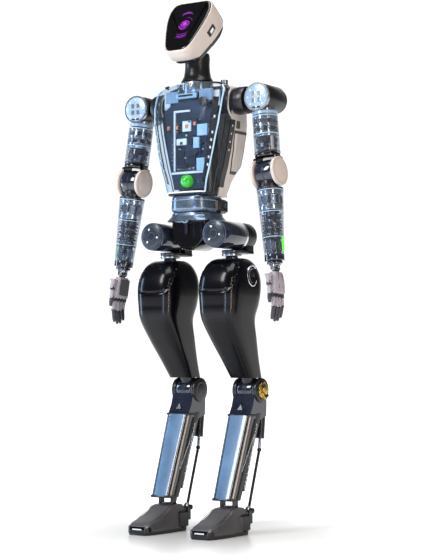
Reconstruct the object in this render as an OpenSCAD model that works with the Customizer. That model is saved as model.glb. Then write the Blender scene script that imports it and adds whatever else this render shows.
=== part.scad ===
// Adult-size humanoid robot, in millimetres.
// It faces -Y, its left side is +X, and it stands on the plane Z = 0.
// Everything with a left and a right is drawn for the left side and mirrored.

/* [Stance] */
// Distance from the centre plane to the middle of each leg
leg_x = 112; // [108:1:118]
// Height of the hip roll axis
hip_z = 894; // [892:1:900]
// Distance from the centre plane to each shoulder roll axis
shoulder_x = 219; // [217:1:230]
// Height of the shoulder axes
shoulder_z = 1295; // [1288:1:1298]
// Outward lean of the hanging arms, in degrees
arm_lean = 6.6; // [5:0.2:9]
// Forward lean of the hanging arms, in degrees
arm_forward = 3.5; // [2:0.5:6]

/* [Joints] */
// Radius of the shoulder and hip motor drums
motor_r = 42; // [40:1:42]
// Radius of the knee drum
knee_r = 36; // [34:1:37]
// Radius of the elbow drum
elbow_r = 38; // [36:1:39]
// Running clearance between faces that turn past each other
gap = 1.5; // [1:0.1:2]
// Radial clearance of a pin in its bore
bore_gap = 0.05; // [0.02:0.01:0.1]

/* [Arms] */
// Outer radius of the clear upper arm sleeve
upper_arm_r = 39; // [37:1:40]
// Outer radius of the forearm sleeve at its top
forearm_r = 40; // [37:1:41]
// Wall thickness of the clear sleeves
wall = 2.5; // [2:0.5:3]
// Width of one finger
finger_w = 13; // [11:0.5:13.5]

/* [Feet] */
// Width of the foot
foot_w = 90; // [84:1:94]
// Distance from the ankle to the tip of the toe
toe_y = 158; // [150:1:165]

/* [Hidden] */
$fn = 64;

// Shift that puts the middle of the robot's depth on the origin
depth_shift = -1;

// Shoulder
shoulder_y = 24;
torso_half_w = 122;
torso_wall = 3;
torso_round_r = 205;
seam_y = 6;
bracket_x = torso_half_w + 2;
bracket_len = 46;
bracket_plate = 12;
roll_front = -44;
roll_back = 60;

// Arm stations, measured down the arm from the shoulder
collar_end = 54;
sleeve_top = 57;
sleeve_end = 168;
elbow_t = 225;
elbow_cheek_r = 44;
elbow_half = 29;
elbow_pin_r = 9;
cheek_half = 5;
forearm_top = 272;
forearm_end = 488;
wrist_t = 511;
palm_top = 521;
palm_len = 64;
knuckle_t = palm_top + palm_len + 8.5;
palm_w = 62;
palm_d = 26;
thumb_y = palm_w / 2 + 11;
wrist_pin_r = 3;
knuckle_pin_r = 2.5;
thumb_pin_r = 2;
thumb_pin_drop = 30;
finger_pitch = 15.5;
finger_bend = 14;
proximal_len = 31;
distal_len = 35;

// Head
head_pitch_y = -8;
head_pitch_z = 1450;
head_pin_r = 6;
neck_base_z = 1358;

// Waist and pelvis
waist_z = 963;
waist_r = 72;
waist_y = 8;
torso_bottom = 1012;
hoist_x = 80;
hoist_hole_r = 4;
hoist_boss_r = 11;
lamp_z = 1056;

// Leg
hip_front = -85;
hip_back = 45;
hip_pitch_y = 15;
hip_pitch_z = 778;
yaw_z = 841;
pitch_drum_r = 40;
pitch_drum_half = 38;
pitch_pin_r = 10;
yaw_disc_r = 30;
yaw_slot_half_w = yaw_disc_r + 1.5;
yaw_slot_len = 78;
knee_y = 120;
knee_z = 430;
knee_pin_r = 10;
ankle_z = 78;
ankle_pin_r = 6;
rod_y = 70;
rod_z = 70;
heel_y = 52;
rod_x = 24;
rod_bend = [0, 132, 250];
// Unit vector of the rods' travel, square to the line from the ankle to the heel pin
rod_slide = [0, ankle_z - rod_z, rod_y] / norm([ankle_z - rod_z, rod_y]);

// ---- helpers ----

module left() {
    translate([0, depth_shift, 0]) children();
}

module right() {
    translate([0, depth_shift, 0]) mirror([1, 0, 0]) children();
}

// Local frame of the hanging arm: Z runs up the arm, the palm faces -X
module arm() {
    translate([shoulder_x, shoulder_y, shoulder_z]) rotate([-arm_forward, -arm_lean, 0]) children();
}

// Cylinder along X between two stations
module x_rod(x0, x1, r) {
    translate([x0, 0, 0]) rotate([0, 90, 0]) cylinder(r = r, h = x1 - x0);
}

// Cylinder along Y between two stations
module y_rod(y0, y1, r) {
    translate([0, y0, 0]) rotate([-90, 0, 0]) cylinder(r = r, h = y1 - y0);
}

// Cylinder down the arm between two stations
module arm_rod(t0, t1, r_top, r_end) {
    translate([0, 0, -t1]) cylinder(r1 = r_end, r2 = r_top, h = t1 - t0);
}

module rounded_rect(w, d, r) {
    square([w - 2 * r, d], center = true);
    square([w, d - 2 * r], center = true);
    for (sx = [-1, 1], sy = [-1, 1])
        translate([sx * (w / 2 - r), sy * (d / 2 - r)]) circle(r);
}

module rounded_box(w, d, h, r) {
    linear_extrude(h) rounded_rect(w, d, r);
}

// Extrusion along X of a side view drawn as (y, z)
module side_view(half_w) {
    translate([-half_w, 0, 0]) rotate([90, 0, 90]) linear_extrude(2 * half_w) children();
}

// Extrusion along Y of a front view drawn as (x, z)
module front_view(y0, y1) {
    translate([0, y1, 0]) rotate([90, 0, 0]) linear_extrude(y1 - y0) children();
}

// Rod between two points
module strut(p, q, r) {
    d = q - p;
    len = norm(d);
    translate(p) rotate([0, acos(d[2] / len), atan2(d[1], d[0])]) cylinder(r = r, h = len);
}

// ---- pelvis and waist ----

module hip_drum_space(r) {
    for (s = [-1, 1])
        translate([s * leg_x, 0, hip_z]) y_rod(hip_front, hip_back, r);
}

module pelvis_housing() {
    color("black") difference() {
        union() {
            front_view(-52, 44) {
                intersection() {
                    translate([0, 912]) circle(62);
                    translate([-62, 840]) square([124, 100]);
                }
                translate([-62, 905]) square([124, 42]);
            }
            front_view(-25, 40) translate([-100, 870]) square([200, 52]);
            translate([0, waist_y, 940]) cylinder(r = waist_r - 8, h = 8);
            translate([0, waist_y, 947.9]) cylinder(r = waist_r + 2, h = waist_z - gap - 947.9);
        }
        hip_drum_space(motor_r);
        translate([0, -80, 932]) y_rod(0, 40, 12);
    }
}

module hip_motors() {
    for (s = [-1, 1])
        color("dimgray") translate([s * leg_x, 0, hip_z]) {
            y_rod(hip_front + 6, hip_back, motor_r);
            y_rod(hip_front, hip_front + 6.1, motor_r - 3);
        }
}

module waist_drum() {
    color("lightsteelblue") difference() {
        translate([0, waist_y, waist_z]) cylinder(r = waist_r, h = torso_bottom - waist_z);
        translate([0, waist_y, waist_z - 1]) cylinder(r = 22, h = torso_bottom - waist_z - 11);
    }
}

// ---- torso ----

// Front view of the torso, drawn in by an inset
module torso_front(inset) {
    polygon([
        [-68 + inset, torso_bottom + inset], [68 - inset, torso_bottom + inset],
        [76 - inset, 1052], [104 - inset, 1156], [117 - inset, 1232],
        [torso_half_w - inset, 1262], [torso_half_w - inset, 1326 - inset],
        [104 - inset, 1342 - inset], [50 - inset / 2, 1356 - inset],
        [-50 + inset / 2, 1356 - inset], [-104 + inset, 1342 - inset],
        [-torso_half_w + inset, 1326 - inset], [-torso_half_w + inset, 1262],
        [-117 + inset, 1232], [-104 + inset, 1156], [-76 + inset, 1052]
    ]);
}

// Side view of the torso, drawn in by an inset
module torso_side(inset) {
    polygon([
        [-76 + inset, torso_bottom + inset], [-84 + inset, 1052], [-90 + inset, 1160],
        [-90 + inset, 1230], [-78 + inset, 1300], [-54 + inset, 1342],
        [-40 + inset, 1356 - inset], [62 - inset, 1356 - inset], [96 - inset, 1330],
        [122 - inset, 1270], [130 - inset, 1200], [122 - inset, 1110],
        [84 - inset, 1050], [70 - inset, torso_bottom + inset]
    ]);
}

module torso_form(inset) {
    intersection() {
        front_view(-100, 150) torso_front(inset);
        side_view(150) torso_side(inset);
        translate([0, 80, 1000]) cylinder(r = torso_round_r - inset, h = 400, $fn = 96);
    }
}

module neck_hole() {
    translate([0, -2, 1330]) cylinder(r = 50, h = 60);
}

module shoulder_holes(r) {
    translate([0, shoulder_y, shoulder_z]) x_rod(-150, 150, r);
}

module chest_shell() {
    color("lightblue", 0.5) difference() {
        torso_form(0);
        torso_form(torso_wall);
        translate([-200, seam_y, 900]) cube([400, 300, 600]);
        neck_hole();
        shoulder_holes(motor_r);
    }
}

module vent_window(depth) {
    translate([0, 66, 0]) side_view(200) translate([0, 1146]) rounded_rect(62 + depth, 128 + depth, 10);
}

module back_shell() {
    color("antiquewhite") difference() {
        torso_form(0);
        torso_form(torso_wall);
        translate([-200, -300, 900]) cube([400, 300 + seam_y + 0.5, 600]);
        neck_hole();
        shoulder_holes(motor_r);
        vent_window(0);
        for (s = [-1, 1])
            translate([s * hoist_x, shoulder_y, 1300]) cylinder(r = hoist_boss_r + 1, h = 80);
    }
}

module side_vents() {
    color("wheat") difference() {
        intersection() {
            difference() {
                torso_form(0.5);
                torso_form(torso_wall + gap);
            }
            vent_window(-1.5);
        }
        for (z = [1094 : 9 : 1200])
            translate([-200, 46, z]) cube([400, 40, 3]);
    }
}

module torso_frame() {
    color("dimgray") {
        intersection() {
            translate([-80, -70, torso_bottom + 3]) cube([160, 136, 12]);
            torso_form(torso_wall);
        }
        translate([0, 44, torso_bottom + 12]) rounded_box(66, 44, 310, 8);
        translate([0, shoulder_y, shoulder_z]) x_rod(-torso_half_w, torso_half_w, motor_r - 8);
        translate([0, -2, 1322]) cylinder(r = 44, h = neck_base_z - 1322);
        for (s = [-1, 1])
            hoist_boss(s);
    }
}

// Threaded boss for a lifting eye on top of each shoulder
module hoist_boss(s) {
    difference() {
        translate([s * hoist_x, shoulder_y, 1310]) cylinder(r = hoist_boss_r, h = 52);
        translate([s * hoist_x, shoulder_y, 1338]) cylinder(r = hoist_hole_r, h = 30);
    }
}

module control_boards() {
    color("navy") {
        translate([-52, 8, 1070]) cube([104, 3, 180]);
        translate([-30, -4, 1100]) cube([60, 8, 90]);
        for (z = [1120, 1160, 1205])
            translate([10, -22, z]) cube([26, 26, 22]);
        translate([-34, -14, 1215]) cube([30, 18, 26]);
    }
}

module status_lamp() {
    color("limegreen") {
        translate([0, -58, lamp_z]) sphere(r = 20);
        translate([0, 0, lamp_z]) y_rod(-40, 8, 7);
    }
}

// ---- neck and head ----

module neck() {
    color("black") difference() {
        union() {
            translate([0, -2, neck_base_z + gap]) rotate_extrude()
                polygon([[0, 0], [49, 0], [43, 12], [39, 26], [37, 44], [37, 66], [30, 70], [0, 70]]);
            translate([-11, -22, 1400]) cube([22, 30, head_pitch_z - 1400]);
            translate([0, head_pitch_y, head_pitch_z]) x_rod(-11, 11, 15);
        }
        translate([0, head_pitch_y, head_pitch_z]) x_rod(-30, 30, head_pin_r + bore_gap);
    }
}

module head_side(inset) {
    polygon([
        [-111 + inset, 1452], [-36 + inset, 1578], [-28 + inset, 1592 - inset],
        [-12, 1600 - inset], [4, 1596 - inset], [44 - inset, 1562 - inset / 2], [50 - inset, 1550],
        [48 - inset, 1538], [-22 - inset, 1438], [-40, 1424 + inset], [-78, 1416 + inset],
        [-96 + inset, 1422]
    ]);
}

module head_front(inset) {
    polygon([
        [-30, 1410], [30, 1410], [42 - inset, 1440], [74 - inset, 1540], [77 - inset, 1564],
        [74 - inset, 1582], [64 - inset, 1594], [50, 1602], [-50, 1602], [-64 + inset, 1594],
        [-74 + inset, 1582], [-77 + inset, 1564], [-74 + inset, 1540], [-42 + inset, 1440]
    ]);
}

module head_form(inset) {
    intersection() {
        front_view(-150, 100) head_front(inset);
        side_view(100) head_side(inset);
    }
}

// Slanted slab just behind the front face of the head
module visor_slab(depth, margin) {
    intersection() {
        head_form(0);
        front_view(-150, 100) head_front(margin);
        side_view(100) polygon([
            [-130, 1452], [-60, 1583 + depth], [-28 + depth, 1583 + depth],
            [-36 + depth, 1578 - depth / 2], [-111 + depth, 1452 - depth / 2]
        ]);
    }
}

module head_shell() {
    color("linen") difference() {
        head_form(0);
        difference() {
            head_form(5);
            for (s = [-1, 1])
                translate([s * 18 - 5, -34, 1436]) cube([10, 40, 60]);
        }
        visor_slab(7, 3);
        translate([-13, -40, 1430]) cube([26, 60, 42]);
        translate([0, -2, 1380]) cylinder(r = 47, h = 62.5);
    }
    color("gray") translate([0, head_pitch_y, head_pitch_z]) x_rod(-23, 23, head_pin_r);
}

module visor() {
    color("black") visor_slab(6, 4);
}

// ---- arm ----

module shoulder_bracket() {
    color("black") {
        translate([0, shoulder_y, shoulder_z]) x_rod(bracket_x, bracket_x + bracket_len, motor_r - 1);
        translate([0, shoulder_y + roll_back + gap, shoulder_z]) {
            translate([shoulder_x, 0, 0]) y_rod(0, bracket_plate, motor_r - 4);
            translate([bracket_x + bracket_plate, 0, -30])
                cube([shoulder_x - bracket_x - bracket_plate, bracket_plate, 60]);
        }
        translate([bracket_x + bracket_plate, shoulder_y, shoulder_z - 30])
            cube([bracket_len - 14, roll_back + gap + 4, 60]);
    }
}

module shoulder_motor() {
    color("silver") {
        translate([shoulder_x, shoulder_y, shoulder_z]) {
            y_rod(roll_front + 5, roll_back, motor_r);
            y_rod(roll_front, roll_front + 5.1, motor_r - 4);
        }
        arm() arm_rod(20, collar_end, 33, 33);
    }
}

module upper_arm_shell() {
    color("lightblue", 0.4) arm() difference() {
        arm_rod(sleeve_top, sleeve_end, upper_arm_r, upper_arm_r - 1);
        arm_rod(sleeve_top - 1, sleeve_end + 1, upper_arm_r - wall, upper_arm_r - 1 - wall);
    }
}

module upper_arm_motor() {
    color("silver") arm() {
        arm_rod(collar_end + gap, 122, upper_arm_r - wall - 1.5, upper_arm_r - wall - 1.5);
        arm_rod(121, sleeve_end, 27, 27);
        arm_rod(sleeve_end + 0.5, 180, upper_arm_r - 1, upper_arm_r - 1);
        arm_rod(sleeve_end - 4, sleeve_end + 1, upper_arm_r - wall - 2, upper_arm_r - wall - 2);
        for (s = [-1, 1])
            translate([s * (elbow_half + gap + cheek_half), 0, -elbow_t]) {
                x_rod(-cheek_half, cheek_half, elbow_cheek_r);
                translate([-cheek_half, -30, 20]) cube([2 * cheek_half, 60, 30]);
            }
        translate([0, 0, -elbow_t]) x_rod(-elbow_half - 8, elbow_half + 8, elbow_pin_r);
    }
}

module elbow_frame() {
    color("midnightblue") arm() difference() {
        union() {
            translate([0, 0, -elbow_t]) x_rod(-elbow_half, elbow_half, elbow_r);
            arm_rod(elbow_t + 20, forearm_top + 1, 26, 26);
            arm_rod(forearm_top - 0.1, forearm_top + 6, forearm_r, forearm_r);
        }
        translate([0, 0, -elbow_t]) x_rod(-60, 60, elbow_pin_r + bore_gap);
    }
}

module forearm_shell() {
    color("lightblue", 0.4) arm() difference() {
        arm_rod(forearm_top + 6, forearm_end, forearm_r, 29);
        arm_rod(forearm_top + 5, forearm_end + 1, forearm_r - wall, 29 - wall);
    }
}

module forearm_motor() {
    color("silver") arm() {
        arm_rod(forearm_top + 6, 345, 33, 31);
        arm_rod(344, 425, 25, 23);
        arm_rod(424, forearm_end, 22, 22);
        arm_rod(forearm_end - 8, forearm_end, 26, 26);
    }
}

module wrist_link() {
    color("gray") arm() {
        arm_rod(forearm_end + gap, 497, 24, 22);
        translate([0, 0, -wrist_t]) {
            for (s = [-1, 1])
                translate([-7, s * 15 - 3, 0]) cube([14, 6, 18]);
            y_rod(-18, -12, 7);
            y_rod(12, 18, 7);
            y_rod(-18, 18, wrist_pin_r);
        }
    }
}

module palm() {
    color("thistle") arm() difference() {
        union() {
            translate([0, 0, -palm_top - palm_len]) rounded_box(palm_d, palm_w, palm_len, 7);
            translate([-6, -9, -palm_top - 5]) cube([12, 18, palm_top - wrist_t + 5]);
            translate([0, 0, -wrist_t]) y_rod(-9, 9, 7);
            translate([-9, -thumb_y - 9, -palm_top - 8]) cube([18, 22, 6]);
            translate([0, 0, -knuckle_t]) knuckle_row(5);
        }
        translate([0, 0, -wrist_t]) y_rod(-30, 30, wrist_pin_r + bore_gap);
    }
    color("gray") arm() translate([0, 0, -knuckle_t]) y_rod(-palm_w / 2 - 1, palm_w / 2 + 1, knuckle_pin_r);
}

// Y position of a finger, 0 for the index at the front
function finger_y(i) = (i - 1.5) * finger_pitch;

// Lugs between the fingers that carry the knuckle pin
module knuckle_row(r) {
    for (i = [-0.5 : 1 : 3.5]) {
        y_rod(finger_y(i) - 1, finger_y(i) + 1, r);
        translate([-r, finger_y(i) - 1, 0]) cube([2 * r, 2, 9]);
    }
}

module thumb_base() {
    color("thistle") arm() translate([0, -thumb_y, -palm_top - 8]) {
        translate([0, 0, -20]) cylinder(r = 8.5, h = 19);
        for (y = [-8, 4.5])
            translate([0, y, -thumb_pin_drop]) {
                translate([-5, 0, 2]) cube([10, 3.5, 12]);
                y_rod(0, 3.5, 5);
            }
        translate([0, 0, -thumb_pin_drop]) y_rod(-8, 8, thumb_pin_r);
    }
}

module thumb() {
    color("dimgray") arm() translate([0, -thumb_y, -palm_top - 8 - thumb_pin_drop]) difference() {
        union() {
            y_rod(-4, 4, 5);
            translate([0, 0, -28]) rounded_box(12, 8, 26, 3);
            translate([-1, 0, -50]) rounded_box(12, 11, 23, 4);
            translate([-1, 0, -50]) sphere(r = 5.5);
        }
        y_rod(-9, 9, thumb_pin_r + bore_gap);
    }
}

// One finger: the knuckle barrel, a straight link and a link bent inwards
module finger(i, reach) {
    color("thistle") arm() translate([0, finger_y(i), -knuckle_t]) {
        difference() {
            union() {
                y_rod(-finger_w / 2 + 0.4, finger_w / 2 - 0.4, 6.5);
                translate([0, 0, -proximal_len * reach])
                    rounded_box(12.5, finger_w, proximal_len * reach, 3);
            }
            y_rod(-20, 20, knuckle_pin_r + bore_gap);
        }
        translate([0, 0, -proximal_len * reach]) rotate([0, finger_bend, 0]) {
            translate([0, 0, -distal_len * reach]) rounded_box(11.5, finger_w - 1, distal_len * reach, 3);
            translate([0, 0, -distal_len * reach]) sphere(r = 5.5);
        }
    }
}

// ---- leg ----

module hip_roll_bracket() {
    color("black") translate([leg_x, 0, 0]) {
        translate([0, 0, hip_z]) y_rod(hip_back + gap, 96, motor_r - 1);
        translate([-30, 58, yaw_z]) cube([60, 36, 54]);
        translate([-30, hip_pitch_y, yaw_z]) cube([60, 75, 9]);
        translate([0, hip_pitch_y, yaw_z]) cylinder(r = yaw_disc_r, h = 9);
    }
}

module hip_yaw_link() {
    color("dimgray") translate([leg_x, hip_pitch_y, 0]) {
        translate([0, 0, yaw_z - 9]) cylinder(r = yaw_disc_r, h = 9 - gap);
        translate([-14, -16, hip_pitch_z]) cube([28, 32, yaw_z - 8 - hip_pitch_z]);
        translate([0, 0, hip_pitch_z]) {
            x_rod(-pitch_drum_half, pitch_drum_half, pitch_drum_r);
            x_rod(-pitch_drum_half - 9, pitch_drum_half + 9, pitch_pin_r);
        }
    }
}

// Cross-sections of the thigh: height, middle, width, depth and corner radius
thigh_sections = [
    [826, 10, 92, 70, 30],
    [796, 8, 128, 140, 38],
    [737, 8, 140, 186, 40],
    [690, 4, 137, 176, 40],
    [643, -4, 124, 150, 38],
    [583, 26, 112, 122, 34],
    [522, 62, 97, 90, 28],
    [474, 92, 88, 76, 22]
];

module thigh_slab(s, inset) {
    translate([leg_x, s[1], s[0]])
        linear_extrude(0.1) rounded_rect(s[2] - 2 * inset, s[3] - 2 * inset, s[4] - inset, $fn = 32);
}

module thigh_form(inset, first, last) {
    for (i = [first : last])
        hull() {
            thigh_slab(thigh_sections[i], inset);
            thigh_slab(thigh_sections[i + 1], inset);
        }
}

module thigh_shell() {
    color("black") difference() {
        thigh_form(0, 0, 6);
        translate([leg_x - 47, hip_pitch_y - 49, 700]) cube([94, 98, 200]);
        translate([leg_x - yaw_slot_half_w, hip_pitch_y - yaw_slot_len, hip_pitch_z])
            cube([2 * yaw_slot_half_w, yaw_slot_len, 60]);
        translate([leg_x - 30, -20, 560]) cube([60, 60, 150]);
        thigh_spine(0);
    }
}

// Inner beam from the hip to the knee
module thigh_spine(grow) {
    strut([leg_x, 26, 706], [leg_x, 112, 462], 22 + grow);
}

module thigh_frame() {
    color("dimgray") difference() {
        union() {
            for (s = [-1, 1])
                translate([leg_x + s * 43.5, hip_pitch_y, hip_pitch_z]) {
                    x_rod(-3.5, 3.5, 30);
                    translate([-3.5, -30, -78]) cube([7, 60, 78]);
                }
            translate([leg_x - 47, hip_pitch_y - 30, 700]) cube([94, 60, 12]);
            thigh_spine(0);
            translate([leg_x, knee_y, knee_z]) x_rod(-26, 26, knee_r);
        }
        translate([leg_x, hip_pitch_y, hip_pitch_z]) x_rod(-60, 60, pitch_pin_r + bore_gap);
        translate([leg_x, knee_y, knee_z]) x_rod(-60, 60, knee_pin_r + bore_gap);
    }
}

// Cross-sections of the shin, in the same order as the thigh's
shin_sections = [
    [362, 92, 80, 76, 14],
    [104, -12, 70, 60, 12]
];

module shin_form(inset) {
    hull()
        for (s = shin_sections)
            thigh_slab(s, inset);
}

// Half-space in front of a slanted plane along the shin
module shin_front(grow) {
    side_view(300) polygon([
        [-300, 112 - grow], [1 + grow, 112 - grow], [95 + grow, 350 + grow], [-300, 350 + grow]
    ]);
}

module shin_panel() {
    color("lightblue", 0.6) difference() {
        intersection() {
            shin_form(0);
            shin_front(0);
        }
        intersection() {
            shin_form(3);
            side_view(300) polygon([[-300, 116], [200, 116], [200, 346], [-300, 346]]);
        }
    }
}

module shin_frame() {
    color("dimgray") {
        difference() {
            union() {
                difference() {
                    shin_form(0);
                    shin_front(0.4);
                }
                translate([leg_x, 0, 0]) shin_neck();
                for (s = [-1, 1])
                    translate([leg_x + s * 35.5, knee_y, knee_z]) x_rod(-8, 8, 38);
                translate([leg_x, 0, 0]) ankle_ears();
                for (s = [-1, 1])
                    translate([leg_x + s * rod_x, 0, 0]) rod_actuator();
            }
            for (s = [-1, 1])
                translate([leg_x + s * rod_x, 0, 0])
                    strut(rod_bend + 10 * rod_slide, rod_bend + 84 * rod_slide, 6.5);
            translate([leg_x, knee_y, knee_z]) x_rod(-26 - gap, 26 + gap, knee_r + gap);
            translate([leg_x, 0, ankle_z]) x_rod(-60, 60, ankle_pin_r + bore_gap);
        }
        translate([leg_x, knee_y, knee_z]) x_rod(-30, 30, knee_pin_r);
        translate([leg_x, knee_y, knee_z]) {
            x_rod(43, 50, 26);
            x_rod(49, 58, 14);
        }
    }
}

// Motor drum that drives one ankle rod, with its ball knob
module rod_actuator() {
    strut(rod_bend + 36 * rod_slide, rod_bend + 130 * rod_slide, 13);
    translate([0, -12, 0]) strut(rod_bend + 50 * rod_slide, rod_bend + 126 * rod_slide, 12);
    translate([0, 151, 318]) sphere(r = 7);
    translate([0, 138, 318]) y_rod(0, 10, 4);
}

// Block that joins the knee cheeks to the shin
module shin_neck() {
    side_view(40) polygon([[88, 430], [72, 380], [62, 356], [124, 356], [152, 390], [150, 430]]);
}

// Two ears that hold the pitch pin of the ankle
module ankle_ears() {
    for (s = [-1, 1])
        translate([s * 22, 0, 0]) {
            translate([0, 0, ankle_z]) x_rod(-4, 4, 12);
            translate([-4, -12, ankle_z]) cube([8, 24, 32]);
        }
}

module ankle_cross() {
    color("silver") translate([leg_x, 0, ankle_z]) {
        translate([-11, -11, -11]) cube(22);
        x_rod(-28, 28, ankle_pin_r);
        y_rod(-26, 26, ankle_pin_r);
    }
}

module ankle_rods() {
    color("black") for (s = [-1, 1])
        translate([leg_x + s * rod_x, 0, 0]) {
            difference() {
                union() {
                    translate([0, rod_y, rod_z]) x_rod(-3.5, 3.5, 13);
                    strut([0, rod_y + 4, rod_z + 10], rod_bend, 4.5);
                    translate(rod_bend) sphere(r = 7);
                    strut(rod_bend, rod_bend + 42 * rod_slide, 5);
                }
                translate([0, rod_y, rod_z]) x_rod(-9, 9, 9);
            }
        }
}

// Outline of the foot seen from above
module foot_plan(inset) {
    half = foot_w / 2 - inset;
    polygon([
        [-half * 0.72, -toe_y + inset], [half * 0.72, -toe_y + inset],
        [half * 0.94, -toe_y + 22], [half, -90], [half, 14], [half * 0.86, heel_y - inset],
        [-half * 0.86, heel_y - inset], [-half, 14], [-half, -90], [-half * 0.94, -toe_y + 22]
    ]);
}

module foot() {
    color("gray") translate([leg_x, 0, 0]) difference() {
        intersection() {
            union() {
                translate([0, 0, 12]) linear_extrude(90) foot_plan(0);
                linear_extrude(12.1) foot_plan(3);
            }
            side_view(100) polygon([
                [-toe_y, 6], [-toe_y + 6, 0], [heel_y, 0], [heel_y, 66], [30, 84], [-34, 84],
                [-toe_y + 12, 36], [-toe_y, 26]
            ]);
            front_view(-200, 100)
                polygon([[-60, 0], [60, 0], [foot_w / 2, 30], [34, 84], [-34, 84], [-foot_w / 2, 30]]);
        }
        ankle_well();
    }
    color("gray") translate([leg_x, 0, 0]) {
        for (s = [-1, 1])
            difference() {
                translate([-12, s * 22 - 4, 40]) cube([24, 8, ankle_z - 40 + 12]);
                translate([0, 0, ankle_z]) y_rod(-60, 60, ankle_pin_r + bore_gap);
            }
        heel_lugs();
    }
}

// Room under the ankle for the cross and the ears
module ankle_well() {
    translate([-30, -30, 50]) cube([60, 60, 60]);
}

// Three lugs and the pin that the rods' lower eyes swing on
module heel_lugs() {
    for (x = [-38, 0, 38])
        translate([x, 0, 0]) {
            translate([-4, heel_y - 1, 30]) cube([8, rod_y - heel_y - 3, 44]);
            translate([0, rod_y, rod_z]) x_rod(-4, 4, 8);
        }
    translate([0, rod_y, rod_z]) x_rod(-42, 42, 3);
}

// ---- nodes ----

left() pelvis_housing();
left() hip_motors();
left() waist_drum();
left() torso_frame();
left() chest_shell();
left() back_shell();
left() side_vents();
left() control_boards();
left() status_lamp();
left() neck();
left() head_shell();
left() visor();
left() shoulder_bracket();  // left_shoulder_bracket
right() shoulder_bracket();  // right_shoulder_bracket
left() shoulder_motor();  // left_shoulder_motor
right() shoulder_motor();  // right_shoulder_motor
left() upper_arm_shell();  // left_upper_arm_shell
right() upper_arm_shell();  // right_upper_arm_shell
left() upper_arm_motor();  // left_upper_arm_motor
right() upper_arm_motor();  // right_upper_arm_motor
left() elbow_frame();  // left_elbow_frame
right() elbow_frame();  // right_elbow_frame
left() forearm_shell();  // left_forearm_shell
right() forearm_shell();  // right_forearm_shell
left() forearm_motor();  // left_forearm_motor
right() forearm_motor();  // right_forearm_motor
left() wrist_link();  // left_wrist_link
right() wrist_link();  // right_wrist_link
left() palm();  // left_palm
right() palm();  // right_palm
left() thumb_base();  // left_thumb_base
right() thumb_base();  // right_thumb_base
left() thumb();  // left_thumb
right() thumb();  // right_thumb
left() finger(0, 0.96);  // left_index_finger
right() finger(0, 0.96);  // right_index_finger
left() finger(1, 1.04);  // left_middle_finger
right() finger(1, 1.04);  // right_middle_finger
left() finger(2, 1);  // left_ring_finger
right() finger(2, 1);  // right_ring_finger
left() finger(3, 0.84);  // left_little_finger
right() finger(3, 0.84);  // right_little_finger
left() hip_roll_bracket();  // left_hip_roll_bracket
right() hip_roll_bracket();  // right_hip_roll_bracket
left() hip_yaw_link();  // left_hip_yaw_link
right() hip_yaw_link();  // right_hip_yaw_link
left() thigh_frame();  // left_thigh_frame
right() thigh_frame();  // right_thigh_frame
left() thigh_shell();  // left_thigh_shell
right() thigh_shell();  // right_thigh_shell
left() shin_frame();  // left_shin_frame
right() shin_frame();  // right_shin_frame
left() shin_panel();  // left_shin_panel
right() shin_panel();  // right_shin_panel
left() ankle_rods();  // left_ankle_rods
right() ankle_rods();  // right_ankle_rods
left() ankle_cross();  // left_ankle_cross
right() ankle_cross();  // right_ankle_cross
left() foot();  // left_foot
right() foot();  // right_foot
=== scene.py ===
"""Looks of the humanoid robot: materials, detailed pieces, studio light and camera."""

import math
import random

import bmesh
import bpy
from mathutils import Matrix, Vector


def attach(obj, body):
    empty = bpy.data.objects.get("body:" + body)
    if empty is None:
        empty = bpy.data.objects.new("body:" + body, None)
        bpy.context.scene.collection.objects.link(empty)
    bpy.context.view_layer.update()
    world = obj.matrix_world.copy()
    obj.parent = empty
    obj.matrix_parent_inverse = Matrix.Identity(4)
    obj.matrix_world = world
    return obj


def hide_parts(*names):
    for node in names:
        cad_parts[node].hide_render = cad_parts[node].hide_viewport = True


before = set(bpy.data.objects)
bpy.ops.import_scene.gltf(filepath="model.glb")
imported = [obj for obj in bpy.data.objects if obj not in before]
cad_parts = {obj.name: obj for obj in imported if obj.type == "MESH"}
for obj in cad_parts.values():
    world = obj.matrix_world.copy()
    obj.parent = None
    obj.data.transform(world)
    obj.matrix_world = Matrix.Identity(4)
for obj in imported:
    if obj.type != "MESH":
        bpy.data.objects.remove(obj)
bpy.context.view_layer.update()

MM = 0.001
DEPTH_SHIFT = -1.0
LEG_X = 112
SHOULDER = (219, 24, 1295)
ARM_LEAN = math.radians(6.6)
ARM_FORWARD = math.radians(3.5)

ARM = (
    Matrix.Translation(Vector(SHOULDER))
    @ Matrix.Rotation(-ARM_LEAN, 4, "Y")
    @ Matrix.Rotation(-ARM_FORWARD, 4, "X")
)
LEG = Matrix.Translation(Vector((LEG_X, 0, 0)))
CENTRE = Matrix.Identity(4)
ALONG = {"x": Matrix.Rotation(math.pi / 2, 4, "Y"), "y": Matrix.Rotation(-math.pi / 2, 4, "X"), "z": CENTRE}


# ---- materials ----

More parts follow.
